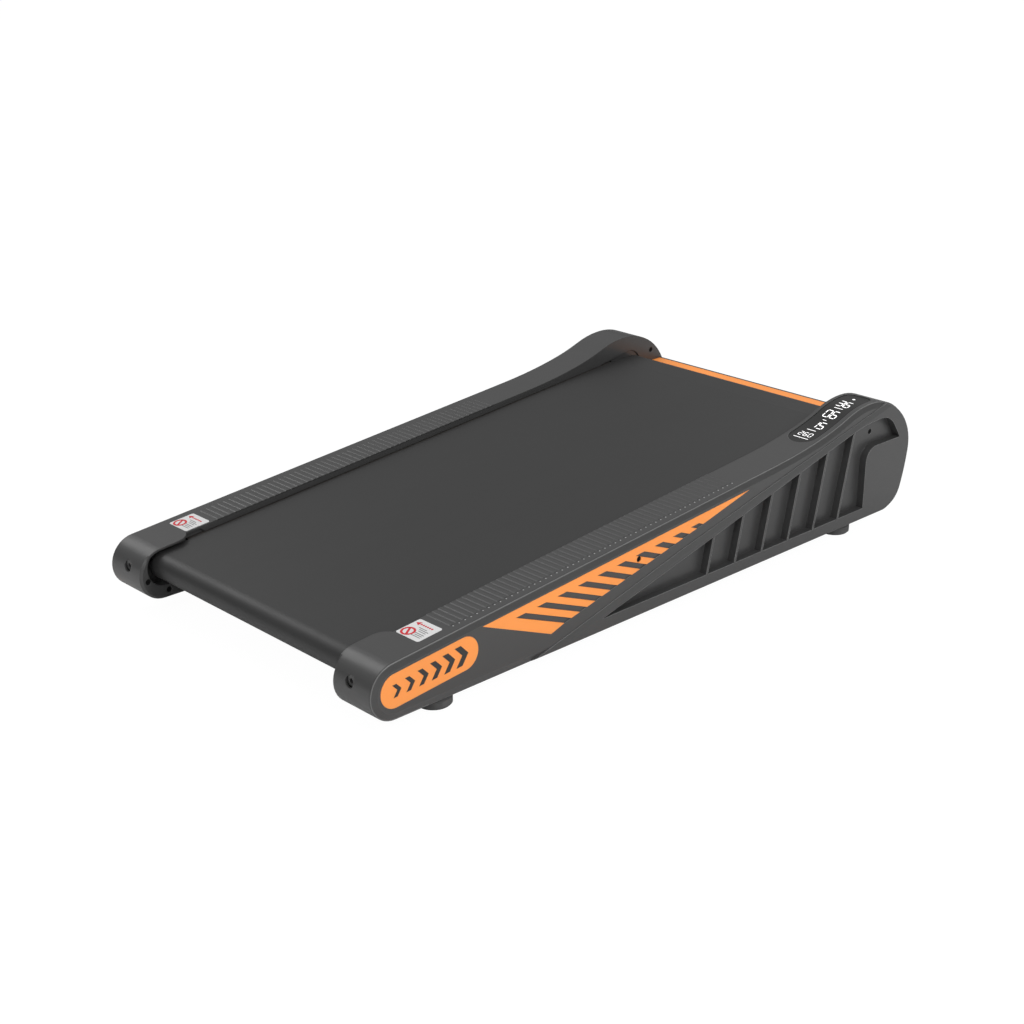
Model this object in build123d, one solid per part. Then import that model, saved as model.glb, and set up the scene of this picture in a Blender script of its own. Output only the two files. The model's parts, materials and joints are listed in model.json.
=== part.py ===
from build123d import *
import math
import os

# A compact under-desk treadmill. +X is the walking direction's raised front end, +Y the
# walker's left, +Z up. The origin is on the floor, in the middle of the outline.

LENGTH = 980.0
WIDTH = 516.0
HALF_WIDTH = WIDTH / 2
WALL = 3.0
GAP = 0.3

# side housings
INNER_FACE = 201.0
CAP_INNER_FACE = 188.0
SEAM = 253.0
PANEL_FACE = 256.0
SKIRT_EDGE = 256.8
LIP_DEPTH = 9.0
OPEN_FROM_X = -412.0
OPEN_TO_X = 368.0
CUP_FLOOR = 203.0
TENSION_Y = 218.0
CAP_SCREWS = [(-479.4, 53.0), (-450.5, 34.5)]
CAP_BEVEL = 3.0
HUMP_SCREW = (455.7, 160.4)

# foot rail grip
RIDGE_START_X = -364.0
RIDGE_PITCH = 9.0
RIDGE_COUNT = 54
RIDGE_OUTER = 241.0

# side skirt
RECESS_FLOOR_Z = 42.0
RECESS_DEPTH = 11.0
CORNER_X = 388.0
CORNER_Z = 108.0
CORNER_RADIUS = 21.0
RIB_START_X = 56.5
RIB_PITCH = 54.7
RIB_COUNT = 6
BAND_INSET = 9.0
SKIRT_BEVEL = 2.5
INLAY = 1.0
INLAY_PROUD = 0.3
SLOT_START_X = -274.0
SLOT_PITCH = 33.4
SLOT_COUNT = 10
SLOT_WIDTH = 7.0
BADGE_CENTRE = (-406.5, 65.0)
BADGE_LENGTH = 142.0
BADGE_HEIGHT = 41.0
LABEL_X = (-411.0, -374.0)
CORNER_SCREW = (407.0, 147.0)
CORNER_TAB_Y = (-242.5, -238.0)
ACCENT_SCREW = (-71.5, 100.0)
ACCENT_TAB_Y = (-250.0, -241.0)

# display window
DISPLAY_X = (264.0, 417.0)
DISPLAY_Y = (-247.0, -206.0)
LENS_TOP = 0.8
LENS_BOTTOM = 2.2

# side outline
UNDERSIDE = 24.0
CAP_RADIUS = 34.3
CAP_X = -LENGTH / 2 + CAP_RADIUS
CAP_Z = UNDERSIDE + CAP_RADIUS
RAIL_SLOPE = 0.0925
RAIL_Z0 = 135.0
RAIL_END_X = 190.0
CREST_X = 398.0
CREST_Z = 192.0
INCLINE = math.degrees(math.atan(RAIL_SLOPE))

# belt, deck and rollers
BELT_THICKNESS = 1.8
BELT_HALF = 195.0
BELT_DROP = 7.5
REAR_ROLLER_RADIUS = 15.1
FRONT_ROLLER_RADIUS = 17.9
ROLLER_HALF = 198.0
AXLE_RADIUS = 6.0
RUNNING_CLEARANCE = 0.05
REAR_AXIS = (-453.5, 68.2)
FRONT_AXIS = (406.0, 142.8)
POCKET_RADIUS = 26.0
DECK_THICKNESS = 12.0
DECK_HALF = 222.0
BEAM_INNER = 206.0
BEAM_OUTER = 226.0
BEAM_HEIGHT = 30.0
BEAM_WALL = 2.5
CUSHION_HEIGHT = 5.0
BEARING_WIDTH = 10.0
STUD_RADIUS = 4.0
NOSE_RADIUS = 10.2
NOSE_X = 372.0
DECK_SCREW_X = (-385.0, -135.0, 110.0, 345.0)
DECK_SCREW_Y = 216.0

# drive
DRIVE_Y = 213.5
DRIVE_WIDTH = 13.0
PULLEY_RADIUS = 31.0
MOTOR_PULLEY_RADIUS = 11.0
MOTOR_AXIS = (446.0, 78.0)
MOTOR_RADIUS = 27.0
MOTOR_Y = (172.0, 36.0)
PLATE = 4.0
SHAFT_RADIUS = 5.0

# feet
FOOT_RADIUS = 22.0
FOOT_Y = 217.0
REAR_FOOT_X = -369.0
FRONT_FOOT_X = 380.0
BASE_X = 399.0

# front cover
LEDGE_Z = 143.0
LEDGE_BACK_X = 431.0
STRIP_X = (438.0, 477.5)
WELL_X = 468.0
WELL_Y = (60.0, 156.0)
WELL_Z = (50.0, 92.0)
INLET_Y = 82.0
SWITCH_Y = 118.0
BREAKER_Y = 142.0


def rail_z(x):
    return RAIL_Z0 + RAIL_SLOPE * x


def belt_z(x):
    return rail_z(x) - BELT_DROP


def side_view(shape, y_from, y_to):
    """Extrude an (x, z) outline across the machine between two values of y."""
    return extrude(Plane.XZ.offset(-y_from) * shape, amount=-(y_to - y_from))


def plan_view(shape, z_from, z_to):
    return extrude(Plane.XY.offset(z_from) * shape, amount=z_to - z_from)


def across(radius, axis, y_from, y_to):
    """A round bar that lies across the machine."""
    return side_view(Pos(axis[0], axis[1]) * Circle(radius), y_from, y_to)


def ring(outer, inner, axis, y_from, y_to):
    return across(outer, axis, y_from, y_to) - across(inner, axis, y_from, y_to)


def box(x_from, x_to, y_from, y_to, z_from, z_to):
    size = (x_to - x_from, y_to - y_from, z_to - z_from)
    centre = ((x_to + x_from) / 2, (y_to + y_from) / 2, (z_to + z_from) / 2)
    return Pos(*centre) * Box(*size)


def polygon(*points):
    return make_face(Polyline(*points, close=True))


def mirrored(shape):
    return mirror(shape, about=Plane.XZ)


def both_sides(shape):
    return [shape, mirrored(shape)]


def smooth_run(start, tangent, *points):
    """A chain of arcs from point to point, each tangent to the one before it."""
    arcs = []
    for point in points:
        arc = TangentArc(start, point, tangent=tangent)
        arcs.append(arc)
        start = point
        tangent = arc % 1
    return arcs


def housing_path():
    """The side view's edges, clockwise: round rear end, sloping rail, raised hump, nose and bottom."""
    lean = math.radians(INCLINE)
    cap_top = (CAP_X - CAP_RADIUS * math.sin(lean), CAP_Z + CAP_RADIUS * math.cos(lean))
    rail_end = (RAIL_END_X, rail_z(RAIL_END_X))
    bottom_rear = (CAP_X, UNDERSIDE)
    bottom_front = (438.9, UNDERSIDE)
    cap = ThreePointArc(bottom_rear, (CAP_X - CAP_RADIUS, CAP_Z), cap_top)
    hump = smooth_run(rail_end, (1, RAIL_SLOPE), (250, 160), (300, 169.5), (345, 182.8),
                      (CREST_X, CREST_Z), (450, 177.5), (483, 143), (489.95, 104), (477.5, 52),
                      (459.5, 31), bottom_front)
    return [cap, Line(cap_top, rail_end), *hump, Line(bottom_front, bottom_rear)]


def inset_outline(amount):
    """The side view of a housing, drawn in by a given amount all the way round."""
    def moved(edge, along):
        point = edge @ along
        direction = edge % along
        return (point.X + amount * direction.Y, point.Y - amount * direction.X)
    path = housing_path()
    edges = []
    for edge, following in zip(path, path[1:] + path[:1]):
        if edge.geom_type == GeomType.LINE:
            edges.append(Line(moved(edge, 0), moved(following, 0)))
        else:
            edges.append(ThreePointArc(moved(edge, 0), moved(edge, 0.5), moved(following, 0)))
    return make_face(edges)


OUTLINE = inset_outline(0)
INSIDE = inset_outline(WALL)


def screw(place, face, out):
    """A pan-head screw across the machine, sunk under a face whose outward side is +Y or -Y (out = +-1)."""
    head = across(3.2, place, face - out * 2.2, face - out * 0.7)
    drive = across(1.2, place, face - out * 1.5, face - out * 0.6)
    return head - drive + across(1.6, place, face - out * 10, face - out * 2.2)


def screw_seat(place, face, out):
    return across(4.0, place, face - out * 2.2, face + out * 2) + across(1.6, place, face - out * 10, face)


def below_rail(depth, x_from, x_to):
    """Everything under a line that runs parallel to the rail, for cutting away."""
    return polygon((x_from, rail_z(x_from) - depth), (x_to, rail_z(x_to) - depth), (x_to, 0), (x_from, 0))


def sloping_bar(x_from, x_to, top_drop, bottom_drop):
    """A bar in the side view, parallel to the belt and measured down from its surface."""
    return polygon(
        (x_from, belt_z(x_from) - bottom_drop), (x_to, belt_z(x_to) - bottom_drop),
        (x_to, belt_z(x_to) - top_drop), (x_from, belt_z(x_from) - top_drop))


def opening(axis, radius, reach, end_radius):
    """The rounded opening in a housing wall that a belt-wrapped roller end runs in."""
    x, z = axis
    far = (x + reach, z + reach * RAIL_SLOPE)
    return make_hull((Pos(x, z) * Circle(radius)).edges() + (Pos(*far) * Circle(end_radius)).edges())


def cup(axis, reach, end_radius, inner_face, axle_hole):
    """A shallow cup behind the opening, with a hole in its floor for the axle: wall, then hollow."""
    outer = opening(axis, POCKET_RADIUS + 2.5, reach, end_radius + 2.5) & OUTLINE
    inner = opening(axis, POCKET_RADIUS, reach, end_radius) & INSIDE
    wall = side_view(outer, -CUP_FLOOR - WALL, -inner_face)
    hollow = side_view(inner, -CUP_FLOOR, -inner_face + 1)
    return wall, hollow + across(axle_hole, axis, -CUP_FLOOR - WALL - 1, -inner_face)


def cap_plan():
    """The plan view of the rear end block, which stands in towards the belt and rounds off in front."""
    y_rail, y_cap, x_end = -INNER_FACE - 1, -CAP_INNER_FACE, -LENGTH / 2 - 1
    turn = TangentArc((-432, y_cap), (-412, y_rail), tangent=(1, 0))
    rest = Polyline((-412, y_rail), (x_end, y_rail), (x_end, y_cap), (-432, y_cap))
    return make_face([turn, *rest.edges()])


def cap_swell():
    """The whole side drawn in towards the belt, with its rim bevelled."""
    edge = CAP_INNER_FACE + CAP_BEVEL
    rim = [Plane.XZ.offset(edge) * OUTLINE, Plane.XZ.offset(CAP_INNER_FACE) * inset_outline(CAP_BEVEL)]
    return side_view(OUTLINE, -INNER_FACE, -edge) + loft(rim, ruled=True)


def grip_ridges():
    """Low ridges across the rail, drawn as one comb in the side view."""
    points = []
    for i in range(RIDGE_COUNT):
        x = RIDGE_START_X + i * RIDGE_PITCH
        for dx, dz in ((0, 0), (0.8, 0.45), (5.4, 0.45), (6.2, 0)):
            points.append((x + dx, rail_z(x + dx) + dz))
    last = points[-1][0]
    points += [(last, rail_z(last) - 1), (RIDGE_START_X, rail_z(RIDGE_START_X) - 1)]
    return side_view(polygon(*points), -RIDGE_OUTER, -INNER_FACE + 0.5)


def display_prism(shrink):
    """The round-ended window of the display, seen from above."""
    x = (DISPLAY_X[0] + DISPLAY_X[1]) / 2
    y = (DISPLAY_Y[0] + DISPLAY_Y[1]) / 2
    length = DISPLAY_X[1] - DISPLAY_X[0] - 2 * shrink
    width = DISPLAY_Y[1] - DISPLAY_Y[0] - 2 * shrink
    return plan_view(Pos(x, y) * SlotOverall(length, width), 120, 220)


def rail_cover(axle_hole):
    """Rear end block, foot rail and hump in one moulding, open underneath and on its outer side."""
    solid = side_view(OUTLINE, -SEAM, -INNER_FACE) - side_view(INSIDE, -SEAM - 1, -INNER_FACE - WALL)
    solid -= side_view(below_rail(LIP_DEPTH, OPEN_FROM_X, OPEN_TO_X), -SEAM - 1, -INNER_FACE + 1)
    solid += cap_swell() & plan_view(cap_plan(), 0, 200)
    block_inside = INSIDE & polygon((-500, 0), (-438, 0), (-438, 200), (-500, 200))
    solid -= side_view(block_inside, -INNER_FACE - WALL, -CAP_INNER_FACE - WALL)
    rear_wall, rear_hollow = cup(REAR_AXIS, 50, POCKET_RADIUS, CAP_INNER_FACE, AXLE_RADIUS + 1)
    front_wall, front_hollow = cup(FRONT_AXIS, -56, 21.5, INNER_FACE, axle_hole)
    solid += rear_wall & (box(-500, OPEN_FROM_X, -260, -INNER_FACE, 0, 200) + plan_view(cap_plan(), 0, 200))
    solid += front_wall & box(OPEN_TO_X, 500, -260, -150, 0, 200)
    for place in CAP_SCREWS:
        solid += across(5.5, place, -200, -CAP_INNER_FACE)
    solid -= rear_hollow
    solid -= front_hollow
    solid += grip_ridges()
    solid -= Pos(-480, -TENSION_Y, REAR_AXIS[1]) * Rot(0, 90, 0) * Cylinder(7, 30)
    solid -= Pos(FRONT_FOOT_X, -FOOT_Y, UNDERSIDE) * Cylinder(STUD_RADIUS, 20)
    solid -= box(BASE_X - 25.5, BASE_X + 25.5, -BEAM_INNER, -INNER_FACE + 1, UNDERSIDE + WALL, 33.5)
    solid += across(5.5, HUMP_SCREW, -INNER_FACE - 6, -INNER_FACE)
    for place in CAP_SCREWS:
        solid -= screw_seat(place, -CAP_INNER_FACE, 1)
    solid -= screw_seat(HUMP_SCREW, -INNER_FACE, 1)
    for (x, z), tab_y in ((CORNER_SCREW, CORNER_TAB_Y), (ACCENT_SCREW, ACCENT_TAB_Y)):
        tab = box(x - 5, x + 5, *tab_y, z - 7, 200) & side_view(inset_outline(1), -SEAM, -200)
        solid += tab - across(1.6, (x, z), tab_y[0] - 1, tab_y[1] + 1)
    return solid


def crease(drop):
    """The region of the side under the crease that climbs from the rear foot to the hump's crest."""
    points = [(-256, 0), (-250, 25), (5, 89.5), (404, 180), (440, 188), (600, 188), (600, 0)]
    return polygon(*[(x, z - drop if z > 24 else z) for x, z in points])


def bevelled(depth, inset):
    """The whole side, from the seam outwards, with its rim bevelled back all the way round."""
    inner = Plane.XZ.offset(SEAM + GAP) * OUTLINE
    outer = Plane.XZ.offset(SEAM + GAP + depth) * inset_outline(inset)
    return loft([inner, outer], ruled=True)


def skirt():
    """The raised lower part of the side, with a bevel along its crease."""
    rise = HALF_WIDTH - SKIRT_EDGE
    region = side_view(crease(0), -SKIRT_EDGE, -SEAM - GAP)
    edge = [Plane.XZ.offset(SKIRT_EDGE) * crease(0), Plane.XZ.offset(HALF_WIDTH) * crease(7 * rise)]
    region += loft(edge, ruled=True)
    return region & bevelled(HALF_WIDTH - SEAM - GAP, SKIRT_BEVEL)


def recess_outline():
    """The long triangular recess that holds the upright ribs, up to the raised front corner."""
    return polygon((CORNER_X, RECESS_FLOOR_Z), (-136, RECESS_FLOOR_Z), (358, 160), (384, 164.5),
                   (384, CORNER_Z), (CORNER_X, CORNER_Z))


def corner_outline():
    """The D-shaped recess above the raised front corner."""
    arch = smooth_run((383, 164), (1, 0.15), (420, 166), (450, 150), (465, 129))
    top = CORNER_Z + CORNER_RADIUS
    turn = TangentArc((CORNER_X + CORNER_RADIUS, top), (CORNER_X, CORNER_Z), tangent=(-1, 0))
    rest = Polyline((CORNER_X, CORNER_Z), (383, CORNER_Z), (383, 164))
    return make_face([*arch, Line((465, top), turn @ 0), turn, *rest.edges()])


def ribs():
    """Upright ribs that lean forward and end flush with the face."""
    strips = None
    for i in range(RIB_COUNT):
        x = RIB_START_X + i * RIB_PITCH
        lean = 0.22 * 130
        strip = polygon((x - 1.8, RECESS_FLOOR_Z), (x + 1.8, RECESS_FLOOR_Z),
                        (x + 1.8 + lean, RECESS_FLOOR_Z + 130), (x - 1.8 + lean, RECESS_FLOOR_Z + 130))
        strips = strip if strips is None else strips + strip
    return strips & recess_outline()


def accent_outline():
    return polygon((-328.5, 94), (-220.5, 49.5), (-199, 56.5), (45, 112.5), (136, 135))


def accent_slots():
    """Slots that rake down and forward through the accent panel's lower edge."""
    rake = math.radians(-22)
    slots = None
    for i in range(SLOT_COUNT):
        x = SLOT_START_X + i * SLOT_PITCH
        z = accent_top(x) - 8
        middle = (x + 60 * math.cos(rake), z + 60 * math.sin(rake))
        strip = Pos(*middle) * Rot(0, 0, -22) * Rectangle(150, SLOT_WIDTH)
        slots = strip if slots is None else slots + strip
    under_edge = polygon((-400, accent_top(-400) - 10), (200, accent_top(200) - 10), (200, 0), (-400, 0))
    return slots & under_edge


def accent_top(x):
    return 122.9 + 0.0885 * x


def badge_outline():
    return Pos(*BADGE_CENTRE) * Rot(0, 0, INCLINE) * SlotOverall(BADGE_LENGTH, BADGE_HEIGHT)


def side_panel():
    """Outer side moulding: sloping edge band, flat face, ribbed skirt and a flange underneath."""
    sheet = bevelled(PANEL_FACE - SEAM - GAP, BAND_INSET) + skirt()
    sheet += side_view(inset_outline(WALL + GAP), -SEAM - GAP, -SEAM + 1)
    recess = recess_outline()
    back = offset(recess, amount=2.5) & inset_outline(WALL + GAP)
    sheet += side_view(back, -SEAM, -HALF_WIDTH + RECESS_DEPTH + 2.5)
    corner_back = offset(corner_outline(), amount=2.5) & inset_outline(WALL + GAP)
    sheet += side_view(corner_back, -SEAM, -HALF_WIDTH + RECESS_DEPTH + 2.5)
    sheet += across(5, CORNER_SCREW, -SEAM, CORNER_TAB_Y[0])
    sheet += across(5, ACCENT_SCREW, -SEAM, ACCENT_TAB_Y[0])
    sheet -= side_view(recess, -HALF_WIDTH - 1, -HALF_WIDTH + RECESS_DEPTH)
    sheet += side_view(ribs(), -HALF_WIDTH, -HALF_WIDTH + RECESS_DEPTH)
    sheet -= side_view(corner_outline(), -HALF_WIDTH - 1, -HALF_WIDTH + RECESS_DEPTH)
    sheet -= side_view(accent_outline(), -HALF_WIDTH, -PANEL_FACE + INLAY)
    sheet -= side_view(badge_outline(), -HALF_WIDTH, -PANEL_FACE + INLAY)
    sheet += box(OPEN_FROM_X + 4, OPEN_TO_X - 4, -SEAM - GAP, -BEAM_INNER - 1, UNDERSIDE, UNDERSIDE + WALL)
    sheet -= Pos(REAR_FOOT_X, -FOOT_Y, UNDERSIDE) * Cylinder(STUD_RADIUS, 20)
    sheet -= screw_seat(CORNER_SCREW, -HALF_WIDTH + RECESS_DEPTH, -1)
    return sheet - screw_seat(ACCENT_SCREW, -PANEL_FACE - INLAY_PROUD, -1)


def accent_panel():
    panel = side_view(accent_outline() - accent_slots(), -PANEL_FACE - INLAY_PROUD, -PANEL_FACE + INLAY)
    return panel - screw_seat(ACCENT_SCREW, -PANEL_FACE - INLAY_PROUD, -1)


def badge():
    return side_view(badge_outline(), -PANEL_FACE - INLAY_PROUD, -PANEL_FACE + INLAY)


def label():
    x0, x1 = LABEL_X
    outline = polygon((x0, rail_z(x0)), (x1, rail_z(x1)), (x1, rail_z(x1) + 0.3), (x0, rail_z(x0) + 0.3))
    corners = Pos((x0 + x1) / 2, -222) * RectangleRounded(x1 - x0, 38, 3)
    return side_view(outline, -241, -203) & plan_view(corners, 0, 200)


def foot():
    """A rubber foot, turned, with a waist above its tread."""
    profile = make_face(Polyline((0, 0), (FOOT_RADIUS - 2, 0), (FOOT_RADIUS, 2), (FOOT_RADIUS, 10),
                                 (FOOT_RADIUS - 3, 13), (FOOT_RADIUS - 5, 14), (FOOT_RADIUS - 5, UNDERSIDE),
                                 (0, UNDERSIDE), close=True))
    return revolve(Plane.XZ * profile, Axis.Z) - Pos(0, 0, UNDERSIDE) * Cylinder(STUD_RADIUS, 24)


def foot_stud(x, top):
    return Pos(x, -FOOT_Y, (12 + top) / 2) * Cylinder(STUD_RADIUS, top - 12)


def foot_studs():
    studs = [foot_stud(REAR_FOOT_X, 42), foot_stud(FRONT_FOOT_X, 33)]
    return studs + [mirrored(s) for s in studs]


def side_beam():
    """Sloping steel tube under the deck's edge, with a block down to the rear foot."""
    top = DECK_THICKNESS + BELT_THICKNESS + GAP + CUSHION_HEIGHT
    bottom = top + BEAM_HEIGHT
    tube = side_view(sloping_bar(-432, 366, top, bottom), -BEAM_OUTER, -BEAM_INNER)
    bore = sloping_bar(-433, 367, top + BEAM_WALL, bottom - BEAM_WALL)
    tube -= side_view(bore, -BEAM_OUTER + BEAM_WALL, -BEAM_INNER - BEAM_WALL)
    x0, x1 = REAR_FOOT_X - 15, REAR_FOOT_X + 15
    block = polygon((x0, UNDERSIDE + WALL), (x1, UNDERSIDE + WALL),
                    (x1, belt_z(x1) - bottom), (x0, belt_z(x0) - bottom))
    beam = tube + side_view(block, -BEAM_OUTER, -BEAM_INNER)
    beam -= Pos(REAR_FOOT_X, -FOOT_Y, UNDERSIDE) * Cylinder(STUD_RADIUS, 36)
    for x in DECK_SCREW_X:
        beam -= deck_screw(x)
    return beam


def crossmember(x, bottom, height=18, width=24):
    """A rectangular tube between the side beams, clear of the belt's return run."""
    outer = box(x - width / 2, x + width / 2, -BEAM_INNER, BEAM_INNER, bottom, bottom + height)
    return outer - box(x - width / 2 + 2, x + width / 2 - 2, -300, 300, bottom + 2, bottom + height - 2)


def deck_screw(x):
    """A countersunk screw through the deck and its cushion into the beam."""
    top = belt_z(x) - BELT_THICKNESS - GAP - 0.5
    head = Pos(x, -DECK_SCREW_Y, top - 1.5) * Cone(2.4, 5, 3)
    return head + Pos(x, -DECK_SCREW_Y, top - 3 - 11) * Cylinder(2.4, 22)


def deck_screws():
    screws = [deck_screw(x) for x in DECK_SCREW_X]
    return screws + [mirrored(s) for s in screws]


def deck_board():
    """The board the belt slides over: rounded in front, narrow where it passes the housings' walls."""
    top = BELT_THICKNESS + GAP
    board = sloping_bar(-424, NOSE_X + NOSE_RADIUS - GAP, top, top + DECK_THICKNESS)
    corner = board.vertices().sort_by(Axis.Y)[-1]
    board = fillet(corner, NOSE_RADIUS - GAP)
    wide = box(-410, 364, -DECK_HALF, DECK_HALF, 0, 300)
    front = box(300, 500, -BELT_HALF - 3, BELT_HALF + 3, 0, 300)
    rear = box(-500, -400, -CAP_INNER_FACE + 2, CAP_INNER_FACE - 2, 0, 300)
    solid = side_view(board, -DECK_HALF, DECK_HALF) & (wide + front + rear)
    for part in deck_screws():
        solid -= part + Pos(0, 0, 1.5) * part
    return solid


def deck_cushions():
    """Rubber pads between the side beams and the deck."""
    top = DECK_THICKNESS + BELT_THICKNESS + GAP
    pads = []
    for x in DECK_SCREW_X:
        outline = sloping_bar(x - 12, x + 12, top, top + CUSHION_HEIGHT)
        pad = side_view(outline, -BEAM_OUTER + 2, -BEAM_INNER - 2)
        pads += both_sides(pad - deck_screw(x))
    return pads


def belt_circles(shrink):
    nose_z = belt_z(NOSE_X) - (NOSE_RADIUS + BELT_THICKNESS) / math.cos(math.radians(INCLINE))
    rear = Pos(*REAR_AXIS) * Circle(REAR_ROLLER_RADIUS + GAP + BELT_THICKNESS - shrink)
    front = Pos(*FRONT_AXIS) * Circle(FRONT_ROLLER_RADIUS + GAP + BELT_THICKNESS - shrink)
    nose = Pos(NOSE_X, nose_z) * Circle(NOSE_RADIUS + BELT_THICKNESS - shrink)
    return rear, front, nose


def belt_shape(shrink):
    edges = []
    for circle in belt_circles(shrink):
        edges += circle.edges()
    return make_hull(edges)


def running_belt():
    return side_view(belt_shape(0) - belt_shape(BELT_THICKNESS), -BELT_HALF, BELT_HALF)


def roller_tube(radius, axis):
    """A plain steel tube with a seat at each end for its bearing."""
    return ring(radius, radius - 2.5, axis, -ROLLER_HALF, ROLLER_HALF)


def roller_bearings(radius, axis):
    outer = radius - 2.5
    bearing = ring(outer, AXLE_RADIUS + RUNNING_CLEARANCE, axis, -ROLLER_HALF + 2,
                   -ROLLER_HALF + 2 + BEARING_WIDTH)
    return both_sides(bearing)


def roller_axle(axis):
    axle = across(AXLE_RADIUS, axis, -BEAM_OUTER, BEAM_OUTER)
    for y in (-BEAM_OUTER - 1, BEAM_OUTER - 16):
        axle -= across(STUD_RADIUS, axis, y, y + 17)
    return axle


def axle_bolts(axis, plate):
    """A hex-head bolt into each end of a roller's fixed axle."""
    y = -BEAM_OUTER - plate
    hexagon = side_view(Pos(*axis) * RegularPolygon(7.5, 6), y - 5, y)
    return both_sides(hexagon + across(STUD_RADIUS, axis, y, -BEAM_OUTER + 15))


def drive_pulley():
    """The grooved pulley on the right end of the front roller, with its hub on the tube's end."""
    pulley = ring(PULLEY_RADIUS, AXLE_RADIUS + 1, FRONT_AXIS, -DRIVE_Y - DRIVE_WIDTH / 2,
                  -DRIVE_Y + DRIVE_WIDTH / 2)
    web = ring(PULLEY_RADIUS - 5, 12, FRONT_AXIS, -DRIVE_Y - DRIVE_WIDTH, -DRIVE_Y - 2)
    groove_y = -DRIVE_Y - 4
    pulley -= web
    for i in range(5):
        pulley -= ring(PULLEY_RADIUS + 1, PULLEY_RADIUS - 1, FRONT_AXIS, groove_y + 2 * i - 0.5,
                       groove_y + 2 * i + 0.5)
    pulley += ring(12, AXLE_RADIUS + 1, FRONT_AXIS, -DRIVE_Y + DRIVE_WIDTH / 2, -ROLLER_HALF - 2)
    return pulley + ring(FRONT_ROLLER_RADIUS, AXLE_RADIUS + 1, FRONT_AXIS, -ROLLER_HALF - 2, -ROLLER_HALF)


def drive_belt():
    """The ribbed belt from the motor to the front roller."""
    def loop(grow):
        big = Pos(*FRONT_AXIS) * Circle(PULLEY_RADIUS + grow)
        small = Pos(*MOTOR_AXIS) * Circle(MOTOR_PULLEY_RADIUS + grow)
        return make_hull(big.edges() + small.edges())
    return side_view(loop(2.8) - loop(GAP), -DRIVE_Y - 5.5, -DRIVE_Y + 5.5)


def motor_pulley():
    pulley = ring(MOTOR_PULLEY_RADIUS, SHAFT_RADIUS, MOTOR_AXIS, -DRIVE_Y - DRIVE_WIDTH / 2,
                  -DRIVE_Y + DRIVE_WIDTH / 2)
    for i in range(5):
        y = -DRIVE_Y - 4 + 2 * i
        pulley -= ring(MOTOR_PULLEY_RADIUS + 1, MOTOR_PULLEY_RADIUS - 1, MOTOR_AXIS, y - 0.5, y + 0.5)
    return pulley


def motor_shaft():
    return across(SHAFT_RADIUS, MOTOR_AXIS, -DRIVE_Y - DRIVE_WIDTH / 2 - 1, -MOTOR_Y[0] + 16)


def drive_motor():
    """The motor's can with a cooling-finned end bell and a blind bore for its shaft."""
    y0, y1 = -MOTOR_Y[0], -MOTOR_Y[1]
    can = across(MOTOR_RADIUS, MOTOR_AXIS, y0, y1)
    for i in range(6):
        can -= ring(MOTOR_RADIUS + 1, MOTOR_RADIUS - 2, MOTOR_AXIS, y1 - 34 + 5 * i, y1 - 32 + 5 * i)
    return can - across(SHAFT_RADIUS + RUNNING_CLEARANCE, MOTOR_AXIS, y0 - 1, y0 + 17)


def motor_bracket():
    """A steel plate on the motor's front face, with a foot on the front crossmember."""
    x, z = MOTOR_AXIS
    plate = polygon((x - 58, 33), (x - 22, 33), (x + 20, z - 26), (x + 24, z + 8), (x + 10, z + 25),
                    (x - 12, z + 25), (x - 30, z + 4), (x - 58, 44))
    y0 = -MOTOR_Y[0] - 4
    solid = side_view(plate, y0, y0 + 4) - across(9, MOTOR_AXIS, y0 - 1, y0 + 5)
    return solid + box(x - 58, x - 22, y0 - 22, y0, 33, 36)


def front_bracket():
    """The steel end plate that carries the front axle and stands on the front foot."""
    plate = polygon((335, 112), (340, 141), (392, 165), (420, 162), (430, 140), (424, UNDERSIDE + WALL),
                    (366, UNDERSIDE + WALL), (366, 106))
    solid = side_view(plate, -BEAM_OUTER - PLATE, -BEAM_OUTER)
    solid -= across(STUD_RADIUS, FRONT_AXIS, -BEAM_OUTER - PLATE - 1, -BEAM_OUTER + 1)
    solid += box(366, 424, -BEAM_OUTER, -BEAM_INNER, UNDERSIDE + WALL, UNDERSIDE + WALL + PLATE)
    return solid - Pos(FRONT_FOOT_X, -FOOT_Y, UNDERSIDE) * Cylinder(STUD_RADIUS, 36)


def rear_bracket():
    """The U-shaped steel bracket behind each beam that the rear axle is pulled back in."""
    x, z = REAR_AXIS
    cheek = polygon((x - 22, z - 16), (-400, z - 16), (-392, z + 8), (x - 22, z + 14))
    solid = side_view(cheek, -BEAM_OUTER - WALL, -BEAM_OUTER)
    solid -= across(STUD_RADIUS, REAR_AXIS, -BEAM_OUTER - WALL - 1, -BEAM_OUTER + 1)
    solid += box(x - 22, x - 18, -BEAM_OUTER, -BEAM_INNER - 1, z - 16, z + 14)
    return solid - tension_bolt()


def tension_bolt():
    x, z = REAR_AXIS
    shank = Pos(x - 15.5, -TENSION_Y, z) * Rot(0, 90, 0) * Cylinder(STUD_RADIUS, 13)
    head = along_x(6.7, x - 32.5, x - 22, -TENSION_Y, z)
    hexagon = extrude(RegularPolygon(3.2, 6), amount=4, both=True)
    socket = Pos(x - 32.5, -TENSION_Y, z) * Rot(0, 90, 0) * hexagon
    return head - socket + shank


def axle_block():
    """The sliding block on the end of the rear axle, threaded for the tension bolt."""
    x, z = REAR_AXIS
    block = box(x - 13, x + 13, -BEAM_OUTER, -BEAM_INNER - 2, z - 10, z + 10)
    return block - across(AXLE_RADIUS, REAR_AXIS, -BEAM_OUTER - 1, -BEAM_INNER) - tension_bolt()


def cover_outline():
    """The side view of the front cover: the hump's nose cut off level at the ledge."""
    x = LEDGE_BACK_X
    return inset_outline(0.6) & polygon((x, 0), (x, LEDGE_Z), (520, LEDGE_Z), (520, 0))


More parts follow.
